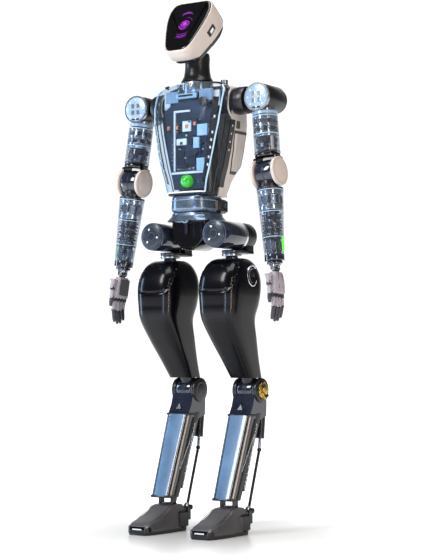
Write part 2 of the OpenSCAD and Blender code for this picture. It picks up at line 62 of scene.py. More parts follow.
def surface(name, color, rough=0.4, metal=0.0, coat=0.0, grain=60.0, mottle=0.08, bump=0.02, glow=None,
            shine=0.5):
    """A finish with a procedural colour mottle, roughness variation and fine bump."""
    mat = bpy.data.materials.new(name)
    mat.use_nodes = True
    nodes, links = mat.node_tree.nodes, mat.node_tree.links
    shader = nodes["Principled BSDF"]
    coords = nodes.new("ShaderNodeTexCoord")
    noise = nodes.new("ShaderNodeTexNoise")
    noise.inputs["Scale"].default_value = grain
    noise.inputs["Detail"].default_value = 6.0
    links.new(coords.outputs["Object"], noise.inputs["Vector"])
    tint = nodes.new("ShaderNodeValToRGB")
    low = [c * (1 - mottle) for c in color]
    high = [min(1.0, c * (1 + mottle)) for c in color]
    tint.color_ramp.elements[0].position = 0.3
    tint.color_ramp.elements[0].color = (*low, 1)
    tint.color_ramp.elements[1].position = 0.7
    tint.color_ramp.elements[1].color = (*high, 1)
    links.new(noise.outputs["Fac"], tint.inputs["Fac"])
    links.new(tint.outputs["Color"], shader.inputs["Base Color"])
    spread = nodes.new("ShaderNodeMapRange")
    spread.inputs["To Min"].default_value = max(0.02, rough - 0.06)
    spread.inputs["To Max"].default_value = min(1.0, rough + 0.06)
    links.new(noise.outputs["Fac"], spread.inputs["Value"])
    links.new(spread.outputs["Result"], shader.inputs["Roughness"])
    relief = nodes.new("ShaderNodeBump")
    relief.inputs["Strength"].default_value = bump
    relief.inputs["Distance"].default_value = 0.001
    links.new(noise.outputs["Fac"], relief.inputs["Height"])
    links.new(relief.outputs["Normal"], shader.inputs["Normal"])
    shader.inputs["Metallic"].default_value = metal
    shader.inputs["Coat Weight"].default_value = coat
    shader.inputs["Coat Roughness"].default_value = 0.05
    shader.inputs["Specular IOR Level"].default_value = shine
    if glow:
        shader.inputs["Emission Color"].default_value = (*glow[0], 1)
        shader.inputs["Emission Strength"].default_value = glow[1]
    return mat


def clear_plastic(name, color, through, body=0.30, rim=0.42):
    """Thin clear plastic: mostly see-through, glossier towards its edges."""
    mat = bpy.data.materials.new(name)
    mat.use_nodes = True
    nodes, links = mat.node_tree.nodes, mat.node_tree.links
    nodes.remove(nodes["Principled BSDF"])
    out = nodes["Material Output"]
    clear = nodes.new("ShaderNodeBsdfTransparent")
    clear.inputs["Color"].default_value = (*color, 1)
    skin = nodes.new("ShaderNodeBsdfPrincipled")
    skin.inputs["Base Color"].default_value = (*[c * body for c in color], 1)
    skin.inputs["Roughness"].default_value = 0.08
    skin.inputs["Coat Weight"].default_value = 0.5
    coords = nodes.new("ShaderNodeTexCoord")
    noise = nodes.new("ShaderNodeTexNoise")
    noise.inputs["Scale"].default_value = 35.0
    links.new(coords.outputs["Object"], noise.inputs["Vector"])
    facing = nodes.new("ShaderNodeLayerWeight")
    facing.inputs["Blend"].default_value = 0.35
    edge = nodes.new("ShaderNodeMapRange")
    edge.inputs["To Min"].default_value = 1 - through
    edge.inputs["To Max"].default_value = rim
    links.new(facing.outputs["Facing"], edge.inputs["Value"])
    haze = nodes.new("ShaderNodeMath")
    haze.operation = "MULTIPLY_ADD"
    haze.inputs[1].default_value = rim / 7
    links.new(noise.outputs["Fac"], haze.inputs[0])
    links.new(edge.outputs["Result"], haze.inputs[2])
    mix = nodes.new("ShaderNodeMixShader")
    links.new(haze.outputs["Value"], mix.inputs["Fac"])
    links.new(clear.outputs["BSDF"], mix.inputs[1])
    links.new(skin.outputs["BSDF"], mix.inputs[2])
    links.new(mix.outputs["Shader"], out.inputs["Surface"])
    return mat


MATS = {
    "beige": surface("warm_beige", (0.57, 0.50, 0.46), 0.32, coat=0.3, grain=25, mottle=0.05),
    "beige_dark": surface("beige_shadow", (0.45, 0.37, 0.31), 0.4, grain=25, mottle=0.08),
    "black": surface("gloss_black", (0.003, 0.003, 0.005), 0.16, coat=0.25, grain=15, mottle=0.3, bump=0.01),
    "thigh": surface("thigh_black", (0.002, 0.002, 0.004), 0.20, coat=0.12, grain=15, mottle=0.3, bump=0.01,
                     shine=0.22),
    "soft_black": surface("soft_black", (0.007, 0.007, 0.009), 0.32, grain=120, mottle=0.3),
    "visor": surface("visor_black", (0.002, 0.002, 0.003), 0.10, grain=40, mottle=0.3, bump=0.0),
    "purple": surface("visor_glow", (0.2, 0.01, 0.3), 0.4, glow=((0.36, 0.01, 0.58), 1.0)),
    "purple_dim": surface("visor_glow_dim", (0.1, 0.01, 0.15), 0.4, glow=((0.13, 0.005, 0.24), 0.8)),
    "silver": surface("motor_silver", (0.34, 0.38, 0.43), 0.25, metal=0.85, grain=90, mottle=0.12, bump=0.05),
    "bright": surface("bright_steel", (0.66, 0.69, 0.73), 0.18, metal=0.9, grain=90, mottle=0.06),
    "blue_alloy": surface("blue_alloy", (0.15, 0.20, 0.28), 0.28, metal=0.8, grain=50, mottle=0.12),
    "pale_blue": surface("pale_blue", (0.30, 0.44, 0.60), 0.25, metal=0.1, coat=0.5, grain=20, mottle=0.12),
    "drum": surface("drum_face", (0.028, 0.036, 0.052), 0.3, metal=0.5, coat=0.4, grain=60, mottle=0.15),
    "navy": surface("navy_gloss", (0.012, 0.016, 0.032), 0.12, coat=0.7, grain=30, mottle=0.3),
    "backing": surface("backing_blue", (0.022, 0.042, 0.08), 0.34, grain=9, mottle=0.6, coat=0.1),
    "board": surface("board_navy", (0.012, 0.024, 0.055), 0.4, grain=140, mottle=0.5, bump=0.2),
    "white": surface("trace_white", (0.80, 0.84, 0.88), 0.3, grain=60, mottle=0.05),
    "module": surface("module_blue", (0.42, 0.62, 0.82), 0.3, coat=0.4, grain=60, mottle=0.1),
    "orange": surface("connector_orange", (0.75, 0.28, 0.12), 0.4, grain=90, mottle=0.2),
    "green": surface("lamp_green", (0.02, 0.50, 0.0), 0.08, coat=1.0, grain=30, mottle=0.1,
                     glow=((0.02, 0.6, 0.0), 0.3)),
    "green_strip": surface("strip_green", (0.1, 0.8, 0.05), 0.3, grain=50, glow=((0.06, 0.75, 0.0), 0.8)),
    "hand": surface("hand_grey", (0.36, 0.33, 0.37), 0.42, grain=70, mottle=0.08),
    "hand_dark": surface("hand_dark", (0.035, 0.035, 0.05), 0.4, grain=70, mottle=0.15),
    "foot": surface("foot_grey", (0.075, 0.072, 0.078), 0.42, grain=110, mottle=0.1, bump=0.06),
    "gold": surface("brass_gear", (0.55, 0.38, 0.08), 0.3, metal=0.8, grain=80, mottle=0.3, bump=0.1),
    "olive": surface("olive_slot", (0.07, 0.075, 0.05), 0.6, grain=80, mottle=0.3),
    "clear": clear_plastic("clear_blue", (0.93, 0.96, 1.0), 0.97, body=0.2),
    "clear_chest": clear_plastic("clear_chest", (0.90, 0.95, 1.0), 0.985, body=0.15, rim=0.16),
    "panel": surface("shin_panel_blue", (0.09, 0.18, 0.32), 0.36, metal=0.1, coat=0.8, grain=12,
                     mottle=0.25, bump=0.01),
}


# ---- mesh building ----

class Piece:
    """One shown piece, drawn in millimetres and made of parts with their own finishes."""

    def __init__(self, place=CENTRE):
        self.bm = bmesh.new()
        self.place = place
        self.finishes = []

    def _finish(self, mat):
        if mat not in self.finishes:
            self.finishes.append(mat)
        return self.finishes.index(mat)

    def grid(self, rings, mat, closed=True, cap=True):
        """A skin over rings of points."""
        index = self._finish(mat)
        rows = [[self.bm.verts.new(self.place @ Vector(p)) for p in ring] for ring in rings]
        count = len(rows[0])
        span = count if closed else count - 1
        for a, b in zip(rows, rows[1:]):
            for i in range(span):
                j = (i + 1) % count
                self.bm.faces.new((a[i], a[j], b[j], b[i])).material_index = index
        if cap:
            self.bm.faces.new(reversed(rows[0])).material_index = index
            self.bm.faces.new(rows[-1]).material_index = index

    def lathe(self, profile, origin, axis, mat, count=48, cap=True):
        """A turned shape: profile is (distance along the axis, radius)."""
        turn = Matrix.Translation(Vector(origin)) @ ALONG[axis]
        angles = [2 * math.pi * i / count for i in range(count)]
        rings = []
        for t, r in profile:
            rings.append([turn @ Vector((r * math.cos(a), r * math.sin(a), t)) for a in angles])
        self.grid(rings, mat, cap=cap)

    def drum(self, origin, axis, t0, t1, r, mat, edge=2.0, count=48):
        """A cylinder with softened rims."""
        soft = [(0, 1.0), (0.3, 0.3), (1.0, 0)]
        profile = [(t0 + edge * a, r - edge * b) for a, b in soft]
        profile += [(t1 - edge * a, r - edge * b) for a, b in reversed(soft)]
        self.lathe(profile, origin, axis, mat, count)

    def tube(self, origin, axis, t0, t1, r, inner, mat, count=48):
        """A ring with an open middle."""
        profile = [(t0, inner), (t0, r), (t1, r), (t1, inner), (t0, inner)]
        self.lathe(profile, origin, axis, mat, count, cap=False)

    def block(self, centre, size, mat, turn=CENTRE, edge=1.0):
        """A box with chamfered edges."""
        half = [s / 2 for s in size]
        e = min(edge, *[h * 0.45 for h in half])
        rings = []
        for z, inset in ((-half[2], e), (-half[2] + e, 0), (half[2] - e, 0), (half[2], e)):
            x, y = half[0] - inset, half[1] - inset
            c = e
            ring = [(x, -y + c), (x, y - c), (x - c, y), (-x + c, y), (-x, y - c), (-x, -y + c),
                    (-x + c, -y), (x - c, -y)]
            rings.append([Vector(centre) + turn @ Vector((a, b, z)) for a, b in ring])
        self.grid(rings, mat)

    def rod(self, p, q, r, mat, r_end=None, count=20):
        """A rod between two points."""
        p, q = Vector(p), Vector(q)
        turn = (q - p).to_track_quat("Z", "Y").to_matrix()
        rings = []
        for base, radius in ((p, r), (q, r if r_end is None else r_end)):
            ring = [base + turn @ Vector((radius * math.cos(a), radius * math.sin(a), 0))
                    for a in [2 * math.pi * i / count for i in range(count)]]
            rings.append(ring)
        self.grid(rings, mat)

    def ball(self, centre, r, mat, count=32):
        rows = count // 2
        profile = [(-r * math.cos(math.pi * i / rows),
                    max(0.02, r * math.sin(math.pi * i / rows))) for i in range(rows + 1)]
        self.lathe(profile, centre, "z", mat, count)

    def slab(self, outline, to_3d, depth, mat):
        """A flat outline given thickness; to_3d turns (a, b, depth) into a point."""
        rings = [[to_3d(a, b, d) for a, b in outline] for d in (0, depth)]
        self.grid(rings, mat)

    def object(self, name, body, nodes, side=1, sharp=38):
        """Makes the object, mirrored for the right side, and hands it to its body."""
        scale = Matrix.Diagonal((side * MM, MM, MM, 1)) @ Matrix.Translation((0, DEPTH_SHIFT, 0))
        self.bm.transform(scale)
        bmesh.ops.recalc_face_normals(self.bm, faces=self.bm.faces)
        mesh = bpy.data.meshes.new(name)
        self.bm.to_mesh(mesh)
        self.bm.free()
        for mat in self.finishes:
            mesh.materials.append(MATS[mat])
        for face in mesh.polygons:
            face.use_smooth = True
        mesh.set_sharp_from_angle(angle=math.radians(sharp))
        obj = bpy.data.objects.new(name, mesh)
        bpy.context.scene.collection.objects.link(obj)
        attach(obj, body)
        if nodes:
            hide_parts(*nodes)
        return obj


def rounded_rect(w, d, r, count=12):
    """Points of a rounded rectangle about the origin."""
    points = []
    for k, (sx, sy) in enumerate(((1, 1), (-1, 1), (-1, -1), (1, -1))):
        for i in range(count + 1):
            a = math.pi / 2 * (k + i / count)
            points.append((sx * (w / 2 - r) + r * math.cos(a), sy * (d / 2 - r) + r * math.sin(a)))
    return points


def smooth_sections(sections, steps=8):
    """Catmull-Rom interpolation of rows of numbers."""
    rows = []
    last = len(sections) - 1
    for i in range(last):
        p = [sections[max(i - 1, 0)], sections[i], sections[i + 1], sections[min(i + 2, last)]]
        for k in range(steps):
            t = k / steps
            row = []
            for a, b, c, d in zip(*p):
                row.append(0.5 * (2 * b + (c - a) * t + (2 * a - 5 * b + 4 * c - d) * t * t
                                  + (3 * b - a - 3 * c + d) * t ** 3))
            rows.append(row)
    rows.append(list(sections[last]))
    return rows


def both(build):
    for name, side in (("left", 1), ("right", -1)):
        build(name, side)


# ---- head ----

FACE_LOW = Vector((0, -111, 1452))
FACE_UP = Vector((0, 79, 130)).normalized()
FACE_OUT = Vector((0, -FACE_UP.z, FACE_UP.y))


def on_face(a, b, depth):
    """A point of the face plane: a across, b up from the lower edge, depth inwards."""
    return FACE_LOW + Vector((a, 0, 0)) + FACE_UP * b - FACE_OUT * depth


def round_corners(corners, count=6):
    """Rounds (x, y, radius) corners of a closed outline."""
    points = []
    n = len(corners)
    for i, (x, y, r) in enumerate(corners):
        here = Vector((x, y))
        before = (Vector(corners[i - 1][:2]) - here).normalized()
        after = (Vector(corners[(i + 1) % n][:2]) - here).normalized()
        start, end = here + before * r, here + after * r
        for k in range(count + 1):
            t = k / count
            points.append(tuple(start * (1 - t) ** 2 + here * 2 * t * (1 - t) + end * t ** 2))
    return points


def face_outline(inset):
    """Outline of the face: wide and round at the top, narrow at the chin."""
    right = [(30, -17, 9), (45, -3, 12), (62, 52, 24), (76, 112, 26), (74, 152, 18), (60, 170, 16)]
    edge = [(max(0, x - inset), y + inset if y < 0 else y - inset * 0.5 * (y > 140), r) for x, y, r in right]
    return round_corners(edge + [(-x, y, r) for x, y, r in reversed(edge)])


def head_depth(b):
    """How far back the side wall reaches at a height up the face, as a share of the deepest part."""
    return 1 - 0.0016 * (153 - b) - 0.007 * max(0.0, 10 - b)


def head_ring(depth, inset, back=0):
    """A ring round the head, square to the face; the chin drops a little behind the front edge."""
    ring = []
    for a, b in face_outline(inset):
        drop = 5 * max(0.0, 1 - max(0.0, b + 17) / 40) * min(1, depth / 10)
        behind = back * max(0.0, min(1.0, (168 - b) / 60))
        ring.append(on_face(a, b - drop - depth * 0.05 * (b > 60), depth * head_depth(b) + behind))
    return ring


def build_head():
    shell = Piece()
    rows = ((7, 4.0), (2, 2.2), (0.2, 0.8), (1.4, -0.8), (5, -1.4), (40, -1.4), (72, -0.5), (82, 3), (87, 9))
    shell.grid([head_ring(depth, inset) for depth, inset in rows], "beige")
    rows = ((60, 5, 0), (82, 4, 8), (87, 7, 10), (89, 14, 11))
    shell.grid([head_ring(depth, inset, back) for depth, inset, back in rows], "soft_black")
    for side in (1, -1):
        turn = Matrix.Rotation(side * math.radians(13), 4, "Y") @ Matrix.Rotation(math.radians(-31), 4, "X")
        for size, out, mat in ((1.0, 0.0, "soft_black"), (0.5, 0.7, "white")):
            centre = on_face(side * (70.5 + out), 84, 40)
            shell.block(centre, (6, 18 * size + 2, 36 * size), mat, turn)
    shell.object("head_cover", "head", ["head_shell"])

    visor = Piece()
    rings = []
    for depth, inset in ((7, 3), (1.6, 3), (-0.2, 3.6), (-1.0, 5), (-1.5, 8), (-1.7, 12)):
        rings.append([on_face(a, b, depth) for a, b in face_outline(inset)])
    visor.grid(rings, "visor")
    for r, width, arc, start, mat in (
        (11.5, 1.6, 360, 0, "purple"), (16, 1.2, 250, 150, "purple_dim"), (19.5, 1.8, 110, 190, "purple"),
        (24, 1.2, 70, 20, "purple_dim"), (40, 2.2, 62, 62, "purple_dim"), (44, 1.6, 44, 74, "purple"),
        (40, 1.6, 56, 246, "purple_dim"), (47, 1.8, 46, 250, "purple"), (53, 1.6, 44, 250, "purple_dim"),
    ):
        glow_arc(visor, r, width, arc, start, mat)
    for k in range(12):
        a = 2 * math.pi * k / 12
        here = (4.6 + 2.4 * (k % 2)) * math.cos(a), 84 + (4.6 + 2.4 * (k % 2)) * math.sin(a)
        visor.ball(on_face(*here, -1.9), 1.9, "purple", 8)
    visor.ball(on_face(0, 84, -1.8), 3.0, "purple", 12)
    visor.object("face_visor", "head", ["visor"])


def glow_arc(piece, r, width, arc, start, mat):
    """A thin glowing arc on the face."""
    steps = 24
    rings = []
    for i in range(steps + 1):
        a = math.radians(start + arc * i / steps)
        taper = math.sin(math.pi * i / steps) ** 0.5 * 0.9 + 0.1 if arc < 360 else 1
        ring = []
        for dr, dd in ((0, 0), (width * taper, 0), (width * taper, 0.7), (0, 0.7)):
            ring.append(on_face((r + dr) * math.cos(a), 84 + (r + dr) * math.sin(a), -1.5 - dd))
        rings.append(ring)
    piece.grid(rings, mat)


def build_neck():
    neck = Piece()
    profile = smooth_sections([(0, 49.5), (5, 47), (14, 42), (28, 39), (44, 37.5), (60, 37.5), (72, 38),
                               (84, 36)], 5)
    neck.lathe([(t, r) for t, r in profile], (0, -2, 1359.5), "z", "soft_black")
    for t in (20, 30, 40):
        neck.tube((0, -2, 1359.5), "z", t, t + 1.0, 41.2 - t * 0.1, 30, "soft_black")
    neck.object("neck_boot", "neck_base", ["neck"])


# ---- torso ----

TORSO_ROWS = [
    # height, half width, front, back
    (1014, 69, -78, 68), (1052, 77, -86, 84), (1110, 93, -91, 118), (1160, 104, -93, 126),
    (1232, 117, -92, 128), (1290, 121.5, -84, 114), (1326, 121, -66, 98), (1344, 106, -52, 84),
    (1354, 60, -40, 64),
]
SEAM_Y = 6
FRONT_POWER = 0.36
BACK_POWER = 0.34


def torso_row(z):
    """Half width, front and back of the torso at a height."""
    for low, high in zip(TORSO_ROWS, TORSO_ROWS[1:]):
        if z <= high[0]:
            t = max(0.0, (z - low[0]) / (high[0] - low[0]))
            t = t * t * (3 - 2 * t) * 0.35 + t * 0.65
            return [a + (b - a) * t for a, b in zip(low[1:], high[1:])]
    return list(TORSO_ROWS[-1][1:])


def front_point(z, angle, inset=0.0):
    """A point on the front of the torso; angle runs from 0 at its left seam to pi at its right."""
    half, front, _ = torso_row(z)
    c, s = math.cos(angle), math.sin(angle)
    x = math.copysign(abs(c) ** FRONT_POWER, c) * (half - inset)
    y = SEAM_Y - (SEAM_Y - front - inset) * s ** FRONT_POWER
    return Vector((x, y, z))


def back_point(z, angle, inset=0.0):
    half, _, back = torso_row(z)
    c, s = math.cos(angle), math.sin(angle)
    x = math.copysign(abs(c) ** BACK_POWER, c) * (half - inset)
    return Vector((x, SEAM_Y + (back - inset - SEAM_Y) * s ** BACK_POWER, z))


def heights(low, high, count):
    return [low + (high - low) * i / count for i in range(count + 1)]


def shell_between(piece, point, z0, z1, a0, a1, outer, inner, mat, rows=24, columns=28):
    """A curved plate with thickness between two heights and two angles."""
    rings = []
    for z in heights(z0, z1, rows):
        angles = [a0 + (a1 - a0) * i / columns for i in range(columns + 1)]
        ring = [point(z, a, outer) for a in angles]
        ring += [point(z, a, inner) for a in reversed(angles)]
        rings.append(ring)
    piece.grid(rings, mat)


def line_on(piece, points, r, mat):
    """A thin bar through points."""
    for p, q in zip(points, points[1:]):
        piece.rod(p, q, r, mat, count=8)


def build_chest_shell():
    shell = Piece()
    shell_between(shell, front_point, 1014, 1354, 0.0, math.pi, 0, 2.5, "clear_chest")
    for sign in (1, -1):
        edge = []
        for z in heights(1022, 1338, 24):
            angle = math.radians(31 - 17 * (z - 1022) / 316)
            p = front_point(z, angle, -0.4)
            p.x *= sign
            edge.append(p)
        line_on(shell, edge, 2.6, "module")
        top = [front_point(1346, math.radians(a), 1) for a in (4, 20, 40, 62)]
        for p in top:
            p.x *= sign
        line_on(shell, top, 3.0, "soft_black")
        side = []
        for z in heights(1018, 1330, 20):
            p = front_point(z, math.radians(3), 0)
            side.append(Vector((p.x * sign, p.y, z)))
        line_on(shell, side, 1.6, "soft_black")
    line_on(shell, [front_point(1022, math.radians(a), 0) for a in range(31, 150, 7)], 2.2, "white")
    shell.object("chest_cover", "torso", ["chest_shell"])


def build_back_shell():
    shell = Piece()
    shell_between(shell, back_point, 1014, 1354, 0.0, math.pi, 0, 3, "beige", 30, 36)
    for sign in (1, -1):
        strip = []
        for z in heights(1040, 1240, 14):
            half = torso_row(z)[0]
            strip.append([Vector((sign * (half + out), y, z)) for y,
                          out in ((2, 0.4), (26, 0.9), (26, -3), (2, -3))])
        shell.grid(strip, "soft_black")
        for k in range(4):
            z = 1150 + k * 24
            half = torso_row(z)[0]
            shell.block((sign * half, 14, z), (3, 4, 6), "white")
        rim = []
        for i in range(13):
            a = math.radians(-70 + 140 * i / 12)
            z = 1290 + 46 * math.sin(a)
            half = torso_row(z)[0]
            rim.append(Vector((sign * (half - 1), 24 - 44 * math.cos(a), z)))
        line_on(shell, rim, 3.0, "beige")
        shell.block((sign * (torso_row(1228)[0] - 1), 44, 1228), (4, 20, 24), "olive")
    shell.block((0, 122, 1180), (92, 14, 150), "beige", edge=6)
    for k in range(6):
        shell.block((0, 130, 1130 + 20 * k), (64, 1.5, 6), "beige_dark")
    shell.block((0, 108, 1290), (120, 12, 8), "beige_dark")
    shell.object("back_cover", "torso", ["back_shell"])


def build_side_vents():
    vents = Piece()
    for sign in (1, -1):
        border, face = [], []
        for z in heights(1082, 1210, 14):
            half = torso_row(z)[0]
            lean = (z - 1146) * 0.12
            y0, y1 = 36 - lean, 96 - max(0, 1110 - z) * 0.8
            border.append([Vector((sign * (half + out), y, z)) for y,
                           out in ((y0, 1.0), (y0, -6), (y1, -8), (y1, 1.0))])
            if 1086 < z < 1206:
                row = ((y0 + 4, 1.4), (y0 + 7, 2.8), (y1 - 8, 2.8), (y1 - 4, 1.4), (y1 - 4, -5), (y0 + 4, -5))
                face.append([Vector((sign * (half + out), y, z)) for y, out in row])
        vents.grid(border, "soft_black")
        vents.grid(face, "beige")
        for z in range(1096, 1200, 6):
            half = torso_row(z)[0]
            for y, deep in ((54, 2.2), (76, 2.2)):
                vents.block((sign * (half + deep), y, z), (1.6, 13, 2.0), "beige_dark", edge=0.3)
    vents.object("side_vent_panels", "torso", ["side_vents"])


PANEL_Y = -50


def build_boards():
    boards = Piece()
    outline = []
    for z, half in ((1034, 54), (1120, 74), (1200, 92), (1250, 98)):
        outline.append((half, z))
    for i in range(1, 8):
        a = math.pi * i / 8
        outline.append((98 * math.cos(a), 1250 + 52 * math.sin(a)))
    for z, half in ((1250, 98), (1200, 92), (1120, 74), (1034, 54)):
        outline.append((-half, z))
    boards.slab(outline, lambda a, b, d: Vector((a, PANEL_Y + 4 + d, b)), 4, "backing")

    def plate(x, z, w, h, mat, out=2.0):
        boards.block((x, PANEL_Y + 4 - out / 2, z), (w, out, h), mat, edge=0.6)

    plate(-3, 1143, 92, 112, "board", 3)
    plate(-50, 1178, 6, 178, "white", 6)
    plate(-24, 1268, 58, 6, "white", 6)
    plate(0, 1083, 120, 7, "white", 7)
    for x, z in ((-72, 1220), (-40, 1220), (23, 1228)):
        plate(x, z, 8, 11, "orange", 8)
    plate(-6, 1222, 30, 31, "white", 6)
    plate(-5, 1221, 9, 11, "orange", 9)
    for x, z, w, h in ((54, 1207, 36, 34), (32, 1170, 20, 32), (48, 1105, 28, 37)):
        plate(x, z, w, h, "module", 12)
    plate(-24, 1176, 36, 19, "white", 7)
    plate(-24, 1172, 10, 8, "board", 8)
    for x, z, w, h in ((10, 1180, 14, 30), (-28, 1130, 26, 40), (14, 1120, 26, 30), (-10, 1104, 14, 14),
                       (30, 1140, 10, 12)):
        plate(x, z, w, h, "drum", 8)
    chip_seed, chip_count = 7, 70
    chips = random.Random(chip_seed)
    for _ in range(chip_count):
        x, z = chips.uniform(-44, 70), chips.uniform(1092, 1240)
        finish = chips.choice(("drum", "drum", "silver", "board", "module", "soft_black"))
        plate(x, z, chips.uniform(2, 9), chips.uniform(2, 7), finish, chips.uniform(4, 7))
    for k in range(7):
        plate(-38 + 9 * k, 1094, 5, 6, "silver", 6)
        plate(-60, 1110 + 12 * k, 4, 6, "silver", 4)
        plate(66 - k, 1150 + 9 * k, 5, 4, "silver", 5)
    boards.drum((59, -66, 1289), "y", 0, 12, 15, "soft_black")
    boards.tube((59, -67, 1289), "y", 0, 2, 11, 8, "drum")
    for sign in (1, -1):
        strip = []
        for z in heights(1050, 1300, 16):
            ring = []
            for a, inset in ((48, 5), (25, 5), (25, 8), (48, 8)):
                p = front_point(z, math.radians(a), inset)
                ring.append(Vector((sign * p.x, p.y, z)))
            strip.append(ring)
        boards.grid(strip, "soft_black")
        for z in (1100, 1122, 1150, 1172, 1194, 1240):
            p = front_point(z, math.radians(34), 3.2)
            boards.block((sign * p.x, p.y, z), (5, 5, 8), "white", Matrix.Rotation(sign * 0.6, 4, "Z"))
        boards.block((sign * 60, -46, 1312), (44, 10, 34), "pale_blue")
        boards.block((sign * 88, -30, 1302), (22, 8, 46), "white")
    boards.block((0, -60, 1311), (72, 12, 16), "module", edge=3)
    boards.block((0, -67, 1311), (52, 4, 5), "soft_black")
    boards.object("control_electronics", "torso", ["control_boards"])


def build_lamp():
    lamp = Piece()
    lamp.ball((0, -58, 1056), 20, "green", 40)
    lamp.drum((0, -40, 1056), "y", 0, 46, 9, "soft_black")
    lamp.block((0, -34, 1056), (96, 6, 40), "soft_black")
    lamp.object("status_ball", "torso", ["status_lamp"])


def build_torso_frame():
    core = Piece()
    core.block((0, 40, 1170), (70, 48, 300), "soft_black", edge=6)
    core.drum((0, 24, 1295), "x", -120, 120, 33, "drum")
    core.drum((0, -2, 1322), "z", 0, 36, 45, "silver")
    for k in range(10):
        a = math.radians(-90 + 36 * k)
        turn = Matrix.Rotation(a, 4, "Z")
        core.block(turn @ Vector((46, 0, 1344)) + Vector((0, -2, 0)), (5, 12, 24), "bright", turn)
    core.block((0, 0, 1020), (128, 128, 12), "drum")
    for sign in (1, -1):
        core.tube((sign * 80, 24, 1310), "z", 0, 52, 11, 4.2, "silver")
    core.object("torso_core", "torso", ["torso_frame"])


def build_waist():
    drum = Piece()
    rows = [(963, 0, -2, 126, 130, 46), (968, 0, -3, 132, 136, 44), (975, 0, -4, 132, 138, 42),
            (1005, 0, -4, 128, 136, 40),
            (1012, 0, -4, 124, 130, 38)]
    lofted(drum, rows, "blue_alloy", 3)
    for z, r in ((974, 0.8), (1000, 1.0)):
        ring = [Vector((a, b - 4, z)) for a, b in rounded_rect(133, 139, 42)]
        line_on(drum, ring + ring[:1], r, "pale_blue")
    for sign in (1, -1):
        drum.block((sign * 56, 30, 985), (30, 66, 42), "soft_black", edge=6)
        drum.block((sign * 70, 22, 985), (5, 22, 24), "drum", edge=2)
        drum.tube((sign * 71, 46, 988), "x", -2, 2, 8, 5, "silver")
    drum.object("waist_bearing", "torso", ["waist_drum"])


# ---- pelvis ----

def build_pelvis():
    body = Piece()
    outline = [(-62, 941), (-62, 906)]
    for i in range(1, 16):
        a = math.pi + math.pi * i / 16
        outline.append((62 * math.cos(a), 912 + 61 * math.sin(a)))
    outline += [(62, 906), (62, 941)]
    rings = []
    for y, shrink in ((-52, 0.90), (-49, 0.96), (-42, 1.0), (36, 1.0), (44, 0.94)):
        rings.append([Vector((x * shrink, y, 905 + (z - 905) * shrink)) for x, z in outline])
    body.grid(rings, "black")
    body.block((0, 8, 896), (172, 62, 48), "soft_black", edge=4)
    flare = [(938, 0, -4, 158, 152, 46), (944, 0, -3, 152, 148, 46), (953, 0, -2, 140, 140, 48),
             (961.4, 0, -2, 134, 136, 46)]
    lofted(body, flare, "blue_alloy", 4)
    body.block((-30, -50, 946), (34, 16, 22), "pale_blue", edge=4)
    body.block((34, -48, 946), (40, 16, 22), "blue_alloy", edge=4)
    body.drum((-4, -64, 944), "y", 0, 14, 11, "soft_black")
    body.tube((-4, -66, 944), "y", 0, 6, 13, 9, "pale_blue")
    body.block((-4, -56, 920), (10, 8, 40), "navy", edge=3)
    for x in (22, 48):
        body.block((x, -53, 912), (3, 2, 46), "navy")
    body.object("pelvis_cover", "pelvis", ["pelvis_housing"])


def build_hip_motors():
    motors = Piece()
    for sign in (1, -1):
        at = (sign * LEG_X, 0, 894)
        motors.drum(at, "y", -79, 38, 42, "navy", 3)
        motors.drum(at, "y", -85, -78, 38, "drum", 2)
        motors.tube(at, "y", -80.5, -78, 41, 38, "blue_alloy")
        motors.tube(at, "y", 36, 44.9, 42, 30, "bright")
        for k in range(3):
            a = math.radians(90 + 120 * k + 20)
            motors.ball((at[0] + 22 * math.cos(a), -85, at[2] + 22 * math.sin(a)), 4, "bright", 16)
        for r in (13, 30):
            motors.tube(at, "y", -85.8, -84.5, r, r - 1.6, "blue_alloy")
    motors.object("hip_motor_drums", "pelvis", ["hip_motors"])


# ---- arms ----

def around(piece, t, r, count, size, mat, phase=0.0):
    """Blocks spaced round the arm's axis at a station."""
    for k in range(count):
        turn = Matrix.Rotation(2 * math.pi * (k + phase) / count, 4, "Z")
        piece.block(turn @ Vector((r, 0, -t)), size, mat, turn, edge=0.6)


def build_shoulder(name, side):
    bracket = Piece()
    x, y, z = SHOULDER
    bracket.drum((0, y, z), "x", 124, 166, 41, "soft_black", 4)
    bracket.tube((0, y, z), "x", 138, 141, 41.6, 38, "drum")
    bracket.drum((x, y + 61.5, z), "y", 0, 12, 38, "soft_black", 3)
    bracket.block((177, y + 67.5, z), (84, 12, 60), "soft_black")
    bracket.block((152, y + 34, z), (32, 62, 60), "soft_black", edge=6)
    bracket.object(name + "_shoulder_yoke", name + "_shoulder", [name + "_shoulder_bracket"], side)

    motor = Piece()
    motor.drum((x, y, z), "y", -34, 60, 42, "soft_black", 3)
    motor.tube((x, y, z), "y", -42, -33, 42, 36, "silver")
    motor.drum((x, y, z), "y", -43, -34, 37, "pale_blue", 2)
    for k in range(4):
        a = math.radians(45 + 90 * k)
        motor.block((x + 14 * math.cos(a), y - 43.2, z + 14 * math.sin(a)), (11, 1.6, 13), "bright")
    for k in range(8):
        a = math.radians(45 * k)
        motor.block((x + 29 * math.cos(a), y - 43.2, z + 29 * math.sin(a)), (4, 1.6, 4), "white")
    for dx in (-10, 6):
        motor.block((x + dx + 2, y - 43.4, z - 31), (12, 1.6, 5), "soft_black")
    arm = Piece(ARM)
    arm.drum((0, 0, 0), "z", -54, -22, 33, "silver", 3)
    arm.tube((0, 0, 0), "z", -53, -44, 37, 30, "pale_blue")
    arm.object(name + "_arm_collar", name + "_upper_arm_roll", [], side)
    motor.object(name + "_shoulder_drum", name + "_upper_arm_roll", [name + "_shoulder_motor"], side)


